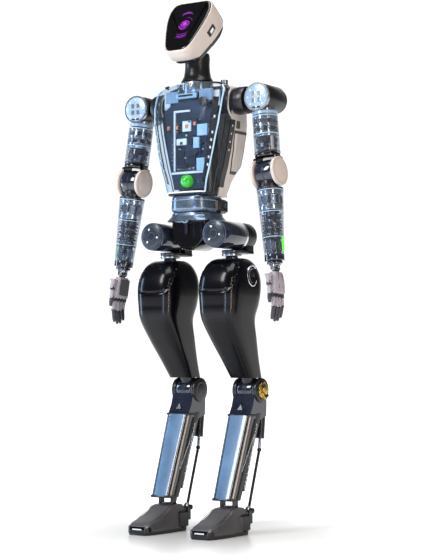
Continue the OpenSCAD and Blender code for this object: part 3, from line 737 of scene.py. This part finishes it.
def build_upper_arm(name, side):
    body = name + "_upper_arm"
    sleeve = Piece(ARM)
    sleeve.tube((0, 0, 0), "z", -168, -57, 38.8, 37, "clear")
    for t in (58, 112, 166):
        sleeve.tube((0, 0, 0), "z", -t - 0.9, -t + 0.9, 39, 37, "module" if t < 166 else "soft_black")
    sleeve.object(name + "_arm_sleeve", body, [name + "_upper_arm_shell"], side)

    motor = Piece(ARM)
    motor.drum((0, 0, 0), "z", -120, -57, 33, "silver", 2)
    for t in (62, 84, 108):
        motor.tube((0, 0, 0), "z", -t - 4, -t + 3, 35.5, 30, "bright")
    around(motor, 74, 33.5, 9, (3, 12, 11), "drum")
    around(motor, 97, 33.5, 9, (3, 13, 12), "navy", 0.5)
    motor.drum((0, 0, 0), "z", -166, -120, 28, "navy", 2)
    around(motor, 130, 29, 5, (6, 20, 14), "drum")
    around(motor, 146, 29, 7, (5, 9, 12), "blue_alloy", 0.3)
    around(motor, 158, 28, 6, (6, 12, 7), "silver")
    motor.block((27, -14, -142), (6, 10, 42), "beige")
    motor.drum((0, 0, 0), "z", -181, -168, 38, "black", 5)
    for sign in (1, -1):
        side_turn = (sign * 35.5, 0, -225)
        motor.drum(side_turn, "x", -5, 5, 44, "beige", 3)
        motor.tube((sign * 40.6, 0, -225), "x", -0.6, 0.6, 38, 36.5, "beige_dark")
        motor.block((sign * 34.5, 0, -192), (9, 44, 26), "black", edge=4)
    motor.object(name + "_arm_drive", body, [name + "_upper_arm_motor"], side)


def build_forearm(name, side):
    body = name + "_forearm"
    elbow = Piece(ARM)
    elbow.drum((0, 0, -225), "x", -29, 29, 38, "navy", 5)
    elbow.tube((0, 0, -225), "x", -3, 3, 38.6, 30, "drum")
    elbow.drum((0, 0, 0), "z", -272, -250, 27, "soft_black", 2)
    elbow.drum((0, 0, 0), "z", -278, -272, 40, "drum", 2)
    elbow.object(name + "_elbow_drum", body, [name + "_elbow_frame"], side)

    sleeve = Piece(ARM)
    sleeve.lathe([(-278, 38), (-278, 40), (-488, 29), (-488, 27), (-278, 38)], (0, 0, 0), "z", "clear",
                 cap=False)
    for t, r in ((280, 40), (345, 36.6), (420, 32.7)):
        sleeve.tube((0, 0, 0), "z", -t - 0.8, -t + 0.8, r + 0.2, r - 2, "module")
    sleeve.drum((0, 0, 0), "z", -489, -470, 29.6, "navy", 2)
    sleeve.block((30.5, 2, -440), (3.5, 8, 44), "green_strip")
    sleeve.object(name + "_forearm_sleeve", body, [name + "_forearm_shell"], side)

    drive = Piece(ARM)
    drive.drum((0, 0, 0), "z", -340, -279, 32, "silver", 2)
    for t in (286, 332):
        drive.tube((0, 0, 0), "z", -t - 5, -t + 4, 34.5, 28, "bright")
    around(drive, 309, 32, 8, (3, 14, 26), "blue_alloy")
    around(drive, 309, 33.6, 8, (2, 4, 22), "soft_black", 0.5)
    drive.drum((0, 0, 0), "z", -425, -340, 24, "drum", 2)
    for row, t in enumerate(range(352, 424, 10)):
        around(drive, t, 25.5, 7, (7, 11, 6), ("silver", "navy", "bright", "drum")[row % 4], row * 0.37)
    drive.drum((0, 0, 0), "z", -470, -425, 22, "navy", 2)
    around(drive, 446, 23, 4, (5, 14, 28), "silver", 0.25)
    drive.block((0, -24, -446), (14, 5, 34), "blue_alloy")
    drive.object(name + "_forearm_drive", body, [name + "_forearm_motor"], side)


def lofted(piece, sections, mat, steps=4):
    """Rounded-rectangle skin; each section is z, x, y, width, depth, corner radius."""
    rings = []
    for z, x, y, w, d, r in smooth_sections(sections, steps):
        r = max(0.4, min(r, w / 2 - 0.1, d / 2 - 0.1))
        rings.append([Vector((x + a, y + b, z)) for a, b in rounded_rect(w, d, r, 6)])
    piece.grid(rings, mat)


KNUCKLE_T = 593.5
THUMB_Y = 42


def build_hand(name, side):
    wrist = Piece(ARM)
    wrist.drum((0, 0, 0), "z", -498, -489.6, 23, "navy", 2)
    wrist.drum((0, 0, 0), "z", -502, -498, 17, "silver", 1)
    for y in (-15, 15):
        wrist.block((0, y, -503), (13, 5.6, 17), "silver")
        wrist.drum((0, y, -511), "y", -2.8, 2.8, 6.8, "silver", 0.6)
    wrist.object(name + "_wrist_fork", name + "_wrist", [name + "_wrist_link"], side)

    palm = Piece(ARM)
    lofted(palm, [(-585, 0, 0, 22, 60, 7), (-578, 0, 0, 25.5, 62, 8), (-552, 1, 0, 26, 61, 9),
                  (-530, 0, 1, 25, 54, 9),
                  (-521, 0, 1, 20, 44, 8)], "hand", 5)
    palm.block((-12.6, 2, -552), (2.4, 46, 50), "hand_dark", edge=1)
    palm.block((13.2, -6, -548), (1.4, 2, 44), "hand_dark")
    palm.block((13.2, 14, -548), (1.4, 2, 44), "hand_dark")
    palm.block((0, 0, -517), (12, 18, 14), "hand_dark")
    palm.drum((0, 0, -511), "y", -9, 9, 7, "hand_dark", 1)
    palm.block((0, -40, -532), (17, 20, 6), "hand", edge=2)
    for k in range(5):
        palm.block((0, (k - 2) * 15.5, -589), (9, 1.8, 12), "hand_dark", edge=0.4)
    palm.drum((0, 0, -KNUCKLE_T), "y", -31, 31, 2.4, "hand_dark", 0.4)
    palm.object(name + "_palm_cover", name + "_hand", [name + "_palm"], side)

    root = Piece(ARM)
    lofted(root, [(-549, 0, -THUMB_Y, 13, 13, 5), (-540, 0, -THUMB_Y, 16, 16, 7),
                  (-531, 0, -THUMB_Y, 15, 15, 7)], "hand")
    for y in (-6.2, 6.2):
        root.block((0, -THUMB_Y + y, -552), (9.6, 3.4, 14), "hand")
        root.drum((0, -THUMB_Y + y, -559), "y", -1.7, 1.7, 4.9, "hand_dark", 0.4)
    root.object(name + "_thumb_knuckle", name + "_thumb_root", [name + "_thumb_base"], side)

    thumb = Piece(ARM)
    thumb.drum((0, -THUMB_Y, -559), "y", -3.9, 3.9, 4.9, "hand_dark", 0.5)
    lofted(thumb, [(-587, 0, -THUMB_Y, 11.5, 10, 4), (-575, 0, -THUMB_Y, 12, 8, 3.8),
                   (-561, 0, -THUMB_Y, 9, 7.6, 3.5)], "hand")
    lofted(thumb, [(-614, -1, -THUMB_Y, 4, 4, 1.9), (-611, -1, -THUMB_Y, 9, 8.5, 4),
                   (-598, -1, -THUMB_Y, 12, 11, 5),
                   (-587.5, -0.5, -THUMB_Y, 11, 10, 4.5)], "hand_dark")
    thumb.object(name + "_thumb_tip", name + "_thumb", [name + "_thumb"], side)

    for i, (finger, reach) in enumerate((("index", 0.96), ("middle", 1.04), ("ring", 1.0), ("little", 0.84))):
        y = (i - 1.5) * 15.5
        link = Piece(ARM @ Matrix.Translation(Vector((0, y, -KNUCKLE_T))))
        link.drum((0, 0, 0), "y", -6, 6, 6.4, "hand_dark", 0.8)
        p = 31 * reach
        lofted(link, [(-p, 0, 0, 11, 11.6, 4), (-p / 2, 0, 0, 12.4, 12.8, 4.6), (-3, 0, 0, 11.6, 12.2, 4)],
               "hand")
        bend = Piece(ARM @ Matrix.Translation(Vector((0, y,
                                                      -KNUCKLE_T - p))) @ Matrix.Rotation(math.radians(14),
                                                                                          4, "Y"))
        d = 35 * reach
        bend.drum((0, 0, 0), "y", -5.2, 5.2, 5.4, "soft_black", 0.8)
        lofted(bend, [(-d - 5, 0, 0, 3.5, 3.5, 1.6), (-d - 2.5, 0, 0, 8, 8, 3.8),
                      (-d + 8, 0, 0, 10.6, 10.6, 5),
                      (-2.5, 0, 0, 10.8, 11.2, 4.6)], "hand_dark")
        node = f"{name}_{finger}_finger"
        link.object(node + "_link", node, [node], side)
        bend.object(node + "_end", node, [], side)


# ---- legs ----

def build_hip_links(name, side):
    bracket = Piece(LEG)
    bracket.drum((0, 0, 894), "y", 46.5, 96, 41, "soft_black", 5)
    bracket.tube((0, 0, 894), "y", 93, 96.4, 30, 26, "drum")
    bracket.block((0, 76, 866), (60, 36, 50), "soft_black", edge=4)
    bracket.block((0, 54, 845.5), (60, 80, 8.6), "soft_black", edge=2)
    bracket.drum((0, 15, 841), "z", 0, 9, 30, "drum", 1)
    bracket.object(name + "_hip_yoke", name + "_hip_roll", [name + "_hip_roll_bracket"], side)

    link = Piece(LEG)
    link.drum((0, 15, 832), "z", 0, 7.4, 30, "silver", 1)
    link.block((0, 15, 806), (28, 32, 54), "drum", edge=3)
    link.drum((0, 15, 778), "x", -38, 38, 40, "drum", 3)
    link.drum((0, 15, 778), "x", -47, 47, 10, "silver", 1)
    link.object(name + "_hip_core", name + "_hip_yaw", [name + "_hip_yaw_link"], side)


THIGH = [
    # height, x, middle, width, depth, squareness (smaller is squarer)
    (468, 0, 96, 84, 72, 0.5), (522, 0, 63, 98, 92, 0.5), (583, 0, 27, 114, 124, 0.5),
    (643, 0, -3, 127, 152, 0.5),
    (690, 0, 2, 137, 176, 0.5), (737, 0, 6, 142, 186, 0.5), (775, 0, 8, 139, 174, 0.52),
    (803, 0, 9, 126, 140, 0.56),
    (818, 0, 11, 106, 106, 0.6), (824, 0, 12, 86, 74, 0.6),
]


def build_thigh(name, side):
    body = name + "_thigh"
    shell = Piece(LEG)
    rings = []
    for z, x, y, w, d, power in smooth_sections(THIGH, 14):
        ring = []
        for i in range(72):
            c, s = math.cos(math.pi * i / 36), math.sin(math.pi * i / 36)
            a = math.copysign(abs(c) ** power, c) * w / 2
            b = math.copysign(abs(s) ** power, s) * d / 2
            off_front = math.degrees(math.atan2(abs(a) / w, -b / d))
            seam = 724 + 5 * (off_front / 40) ** 2 + 110 * max(0.0, (off_front - 34) / 26) ** 2
            groove = math.exp(-((z - seam) / 3.0) ** 2)
            cap = 0.5 + 0.5 * math.tanh((z - seam) / 4)
            scale = 1 - (2.4 * groove + 2.2 * cap) / (w / 2)
            ring.append(Vector((x + a * scale, y + b * scale, z)))
        rings.append(ring)
    shell.grid(rings, "thigh")
    outer_x = 70.0
    arc = []
    for i in range(21):
        a = math.radians(50 + 280 * i / 20)
        arc.append(Vector((outer_x - abs(math.cos(a)) * 1.2, 20 + 26 * math.cos(a), 772 + 30 * math.sin(a))))
    line_on(shell, arc, 2.6, "bright")
    arc = []
    for i in range(15):
        a = math.radians(80 + 200 * i / 14)
        arc.append(Vector((outer_x - 0.4, 20 + 17 * math.cos(a), 772 + 21 * math.sin(a))))
    line_on(shell, arc, 1.4, "silver")
    shell.drum((outer_x - 6, 20, 772), "x", 0, 6, 13, "soft_black", 1)
    hook = [Vector((0, 100, 530)), Vector((0, 116, 534)), Vector((0, 118, 518)), Vector((0, 106, 506))]
    line_on(shell, hook, 2.0, "soft_black")
    shell.object(name + "_thigh_cover", body, [name + "_thigh_shell"], side)

    core = Piece(LEG)
    core.drum((0, 120, 430), "x", -26, 26, 36, "navy", 3)
    core.tube((0, 120, 430), "x", -8, 8, 36.6, 30, "drum")
    core.rod((0, 100, 500), (0, 114, 455), 24, "soft_black")
    core.rod((0, 26, 706), (0, 100, 500), 20, "soft_black")
    core.object(name + "_knee_core", body, [name + "_thigh_frame"], side)


def shin_at(z):
    """Middle, width and depth of the shin at a height."""
    t = (z - 104) / (362 - 104)
    return -12 + 104 * t, 70 + 10 * t, 60 + 16 * t


def build_shin(name, side):
    body = name + "_shin"
    frame_piece = Piece(LEG)
    rows = []
    for z in heights(104, 362, 12):
        mid, w, d = shin_at(z)
        rows.append((z, 0, mid + d * 0.22, w - 3, d * 0.56, 9))
    lofted(frame_piece, rows, "soft_black", 1)
    neck = [(88, 430), (74, 384), (56, 352), (110, 340), (150, 352), (152, 392), (150, 430)]
    frame_piece.slab(neck, lambda a, b, d: Vector((38 - d, a, b)), 76, "navy")
    for x in (35.5, -35.5):
        frame_piece.drum((x, 120, 430), "x", -8, 8, 38, "soft_black", 4)
        frame_piece.tube((x, 120, 430), "x", -8.4, 8.4, 24, 20, "drum")
    frame_piece.drum((0, 120, 430), "x", 43, 49, 25, "gold", 2)
    frame_piece.drum((0, 120, 430), "x", 49, 57, 12, "gold", 2)
    for k in range(10):
        a = 2 * math.pi * k / 10
        frame_piece.block((46, 120 + 25 * math.cos(a), 430 + 25 * math.sin(a)), (5, 5, 5),
                          "soft_black" if k % 2 else "gold",
                          Matrix.Rotation(a, 4, "X"))
    frame_piece.rod((52, 112, 446), (52, 134, 412), 5, "soft_black")
    frame_piece.rod((50, 104, 424), (50, 124, 404), 3.5, "gold")
    frame_piece.slab([(-9, 0), (9, 0), (0, 16)], lambda a, b, d: Vector((a, 59 + b * 0.34 + d, 372 + b)), 3,
                     "silver")
    for x in (-24, 24):
        slide = Vector((0, 8, 70)).normalized()
        bend = Vector((x, 132, 250))
        frame_piece.rod(bend + slide * 36, bend + slide * 128, 13, "soft_black")
        frame_piece.rod(bend + slide * 34, bend + slide * 44, 13.6, "drum")
        frame_piece.ball((x, 150, 318), 7, "soft_black", 20)
        frame_piece.rod((x, 138, 318), (x, 150, 318), 4, "drum")
    for sign in (1, -1):
        top, low = shin_at(330), shin_at(150)
        frame_piece.rod((sign * 38, top[0] + 16, 330), (sign * 33, low[0] + 24, 130), 3.2, "silver")
        frame_piece.rod((sign * 38, top[0] + 2, 300), (sign * 34, low[0] + 10, 190), 2.2, "bright")
    for sign in (1, -1):
        frame_piece.block((sign * 22, 0, 92), (8, 24, 30), "soft_black", edge=2)
        frame_piece.drum((sign * 22, 0, 78), "x", -4, 4, 12, "soft_black", 1)
    frame_piece.object(name + "_shin_body", body, [name + "_shin_frame"], side)

    panel = Piece(LEG)
    rows, face = [], []
    for z in heights(108, 356, 14):
        mid, w, d = shin_at(z)
        rows.append((z, 0, mid - d * 0.26, w - 1.4, d * 0.46, 9))
        front = mid - d / 2
        half = w / 2
        ring = [(half - 7, front + 6), (half - 9, front + 1.2), (half - 15, front), (0, front - 1.2)]
        ring += [(15 - half, front), (9 - half, front + 1.2), (7 - half, front + 6)]
        face.append([Vector((x, y, z)) for x, y in ring])
    lofted(panel, rows, "black", 1)
    panel.grid(face, "panel")
    for sign in (1, -1):
        points = []
        for z in heights(112, 352, 10):
            mid, w, d = shin_at(z)
            points.append(Vector((sign * (w / 2 - 4.5), mid - d / 2 + 9, z)))
        line_on(panel, points, 4.6, "beige")
    for z, h in ((356, 7), (108, 8)):
        mid, w, d = shin_at(z)
        panel.block((0, mid - d * 0.25, z), (w + 1, d * 0.5, h), "soft_black", edge=2)
    panel.object(name + "_shin_cover", body, [name + "_shin_panel"], side)

    rods = Piece(LEG)
    for x in (-24, 24):
        slide = Vector((0, 8, 70)).normalized()
        bend = Vector((x, 132, 250))
        rods.tube((x, 70, 70), "x", -3.5, 3.5, 13, 9, "silver")
        rods.rod((x, 74, 80), bend, 4.5, "soft_black")
        rods.ball(bend, 7, "soft_black", 20)
        rods.rod(bend, bend + slide * 42, 5, "silver")
    rods.object(name + "_ankle_links", name + "_rods", [name + "_ankle_rods"], side)


FOOT = [
    # y, half width, height of the upper
    (-158, 30, 22), (-154, 33, 30), (-136, 39, 38), (-110, 42.5, 46), (-80, 44.5, 56), (-50, 45, 70),
    (-30, 44, 82),
    (6, 43, 84), (30, 41, 82), (44, 39, 72), (52, 37, 60),
]


def build_foot(name, side):
    foot = Piece(LEG)
    rings = []
    for y, half, top in smooth_sections(FOOT, 4):
        ring = [(-half + 3, 8), (half - 3, 8), (half, 14), (half, 20), (half * 0.97, min(top - 6, 34))]
        ring += [(half * 0.97 - (half * 0.97 - min(34, half * 0.9)) * 0.6, top - 5),
                 (min(32, half * 0.84), top - 1)]
        ring += [(min(28, half * 0.74), top), (-min(28, half * 0.74), top)]
        ring += [(-min(32, half * 0.84), top - 1),
                 (-(half * 0.97 - (half * 0.97 - min(34, half * 0.9)) * 0.6), top - 5)]
        ring += [(-half * 0.97, min(top - 6, 34)), (-half, 20), (-half, 14)]
        rings.append([Vector((x, y, z)) for x, z in ring])
    foot.grid(rings, "foot")
    sole = []
    for y, half, top in smooth_sections(FOOT, 2):
        half = half - 1.5
        sole.append([Vector((x, y, z)) for x, z in ((-half + 2, 0), (half - 2, 0), (half, 3), (half, 9),
                                                    (-half, 9), (-half, 3))])
    foot.grid(sole, "soft_black")
    bumper = []
    for y, half, low, high in ((-158.8, 26, 6, 20), (-157, 32, 3, 26), (-150, 37.5, 2, 29),
                               (-140, 40, 2, 24)):
        bumper.append([Vector((x, y, z)) for x,
                       z in ((-half, low + 3), (-half + 4, low), (half - 4, low), (half, low + 3),
                                                      (half, high - 4), (half - 5, high), (-half + 5, high),
                                                      (-half, high - 4))])
    foot.grid(bumper, "black")
    foot.block((0, -158, 18), (34, 1.8, 4.5), "white")
    foot.block((0, 26, 36), (91, 56, 52), "soft_black", edge=6)
    for sign in (1, -1):
        foot.block((0, sign * 22, 62), (24, 8, 52), "soft_black")
        line_on(foot, [Vector((sign * 33, -34, 82)), Vector((sign * 34, -90, 52)),
                       Vector((sign * 28, -148, 31))], 0.9, "hand_dark")
    for x in (-38, 0, 38):
        foot.block((x, 58, 52), (8, 18, 40), "soft_black", edge=2)
        foot.drum((x, 70, 70), "x", -4, 4, 8, "soft_black", 1)
    foot.drum((0, 70, 70), "x", -42, 42, 3, "silver", 0.5)
    foot.object(name + "_foot_cover", name + "_foot", [name + "_foot"], side)


# ---- stage, light and camera ----

def floor_material():
    """Pale floor that glows white far off and only faintly round the feet. The weaker glow there is a painted
    darker pool round the robot, in which the lights' shadows also show.
    """
    near, far = 0.1, 1.2
    painted_shade_glow, far_glow = 0.06, 1.0
    mat = surface("floor_white", (0.60, 0.60, 0.60), 0.30, grain=4, mottle=0.01, bump=0.0,
                  glow=((1.0, 1.0, 1.0), far_glow))
    nodes, links = mat.node_tree.nodes, mat.node_tree.links
    coords = nodes.new("ShaderNodeTexCoord")
    reach = nodes.new("ShaderNodeVectorMath")
    reach.operation = "LENGTH"
    # Glow grows with distance from the floor's middle under the robot: painted shade round the feet, white
    # glow far off.
    fade = nodes.new("ShaderNodeMapRange")
    fade.interpolation_type = "SMOOTHSTEP"
    fade.inputs["From Min"].default_value = near
    fade.inputs["From Max"].default_value = far
    fade.inputs["To Min"].default_value = painted_shade_glow
    fade.inputs["To Max"].default_value = far_glow
    links.new(coords.outputs["Object"], reach.inputs[0])
    links.new(reach.outputs["Value"], fade.inputs["Value"])
    links.new(fade.outputs["Result"], nodes["Principled BSDF"].inputs["Emission Strength"])
    return mat


def build_stage():
    reach = 30
    corners = [(-reach, -reach, 0), (reach, -reach, 0), (reach, reach, 0), (-reach, reach, 0)]
    floor = bpy.data.meshes.new("floor")
    floor.from_pydata(corners, [], [(0, 1, 2, 3)])
    obj = bpy.data.objects.new("floor", floor)
    bpy.context.scene.collection.objects.link(obj)
    floor.materials.append(floor_material())


def area_light(name, place, target, size, power, color):
    light = bpy.data.lights.new(name, "AREA")
    light.shape = "RECTANGLE"
    light.size, light.size_y = size
    light.energy = power
    light.color = color
    obj = bpy.data.objects.new(name, light)
    obj.location = place
    obj.rotation_euler = (Vector(target) - Vector(place)).to_track_quat("-Z", "Y").to_euler()
    bpy.context.scene.collection.objects.link(obj)


def build_light():
    """A studio tent: white behind the robot, dimmer in front so that dark gloss stays dark."""
    world = bpy.context.scene.world or bpy.data.worlds.new("studio")
    bpy.context.scene.world = world
    world.use_nodes = True
    nodes, links = world.node_tree.nodes, world.node_tree.links
    coords = nodes.new("ShaderNodeTexCoord")
    toward = nodes.new("ShaderNodeVectorMath")
    toward.operation = "DOT_PRODUCT"
    behind_robot = (-0.559, 0.829, 0.0)
    toward.inputs[1].default_value = behind_robot
    fade = nodes.new("ShaderNodeMapRange")
    fade.interpolation_type = "SMOOTHSTEP"
    edge_start, edge_end = 0.62, 0.93
    dim, white = 0.09, 1.12
    fade.inputs["From Min"].default_value = edge_start
    fade.inputs["From Max"].default_value = edge_end
    fade.inputs["To Min"].default_value = dim
    fade.inputs["To Max"].default_value = white
    links.new(coords.outputs["Generated"], toward.inputs[0])
    links.new(toward.outputs["Value"], fade.inputs["Value"])
    background = nodes["Background"]
    background.inputs["Color"].default_value = (1.0, 1.0, 1.0, 1)
    links.new(fade.outputs["Result"], background.inputs["Strength"])
    area_light("key", (-1.2, -3.4, 3.2), (0, 0, 1.0), (0.9, 2.0), 110, (1.0, 0.97, 0.93))
    area_light("top", (0.4, -0.6, 4.6), (0, 0, 0), (3.0, 3.0), 150, (1.0, 0.99, 0.97))
    area_light("cool_side", (-3.4, -1.5, 1.1), (0, 0, 0.9), (0.7, 2.6), 70, (0.50, 0.72, 1.0))
    area_light("cool_low", (0.2, -3.8, 0.5), (0, 0, 0.5), (0.5, 1.4), 26, (0.45, 0.68, 1.0))
    area_light("warm_strip", (3.3, -1.9, 1.3), (0, 0, 0.9), (0.22, 2.6), 42, (1.0, 0.80, 0.64))
    bpy.context.scene.view_settings.view_transform = "Standard"


def build_camera():
    azimuth = math.radians(34)
    distance, height = 4.94, 0.521
    focal_px, centre_px, horizon_px = 1637.0, 198.0, 360.4
    width_px, height_px = 433, 560
    data = bpy.data.cameras.new("camera")
    data.sensor_fit = "HORIZONTAL"
    data.sensor_width = 36
    data.lens = focal_px / width_px * 36
    data.shift_x = (width_px / 2 - centre_px) / width_px
    data.shift_y = (horizon_px - height_px / 2) / width_px
    cam = bpy.data.objects.new("camera", data)
    cam.location = (distance * math.sin(azimuth), -distance * math.cos(azimuth), height)
    cam.rotation_euler = (math.pi / 2, 0, azimuth)
    bpy.context.scene.collection.objects.link(cam)
    bpy.context.scene.camera = cam


def plain(node, mat):
    """Keeps a CAD node's own shape and gives it a finish."""
    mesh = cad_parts[node].data
    mesh.materials.clear()
    mesh.materials.append(MATS[mat])


CENTRE_FINISH = {
    "pelvis_housing": "black", "hip_motors": "drum", "waist_drum": "blue_alloy", "torso_frame": "drum",
    "chest_shell": "clear_chest", "back_shell": "beige", "side_vents": "beige", "control_boards": "board",
    "status_lamp": "green",
}
SIDE_FINISH = {
    "shoulder_bracket": "soft_black", "shoulder_motor": "silver", "upper_arm_shell": "clear",
    "upper_arm_motor": "silver",
    "elbow_frame": "navy", "forearm_shell": "clear", "forearm_motor": "silver", "wrist_link": "silver",
    "palm": "hand",
    "thumb_base": "hand", "thumb": "hand_dark", "index_finger": "hand", "middle_finger": "hand",
    "ring_finger": "hand",
    "little_finger": "hand", "hip_roll_bracket": "soft_black", "hip_yaw_link": "soft_black",
    "thigh_frame": "drum",
    "thigh_shell": "black", "shin_frame": "soft_black", "shin_panel": "panel", "ankle_rods": "soft_black",
    "ankle_cross": "silver", "foot": "foot",
}
for node, mat in CENTRE_FINISH.items():
    plain(node, mat)
for node, mat in SIDE_FINISH.items():
    plain("left_" + node, mat)
    plain("right_" + node, mat)

build_head()
build_neck()
build_chest_shell()
build_back_shell()
build_side_vents()
build_boards()
build_lamp()
build_torso_frame()
build_waist()
build_pelvis()
build_hip_motors()
for build in (build_shoulder, build_upper_arm, build_forearm, build_hand, build_hip_links, build_thigh,
              build_shin, build_foot):
    both(build)
build_stage()
build_light()
build_camera()
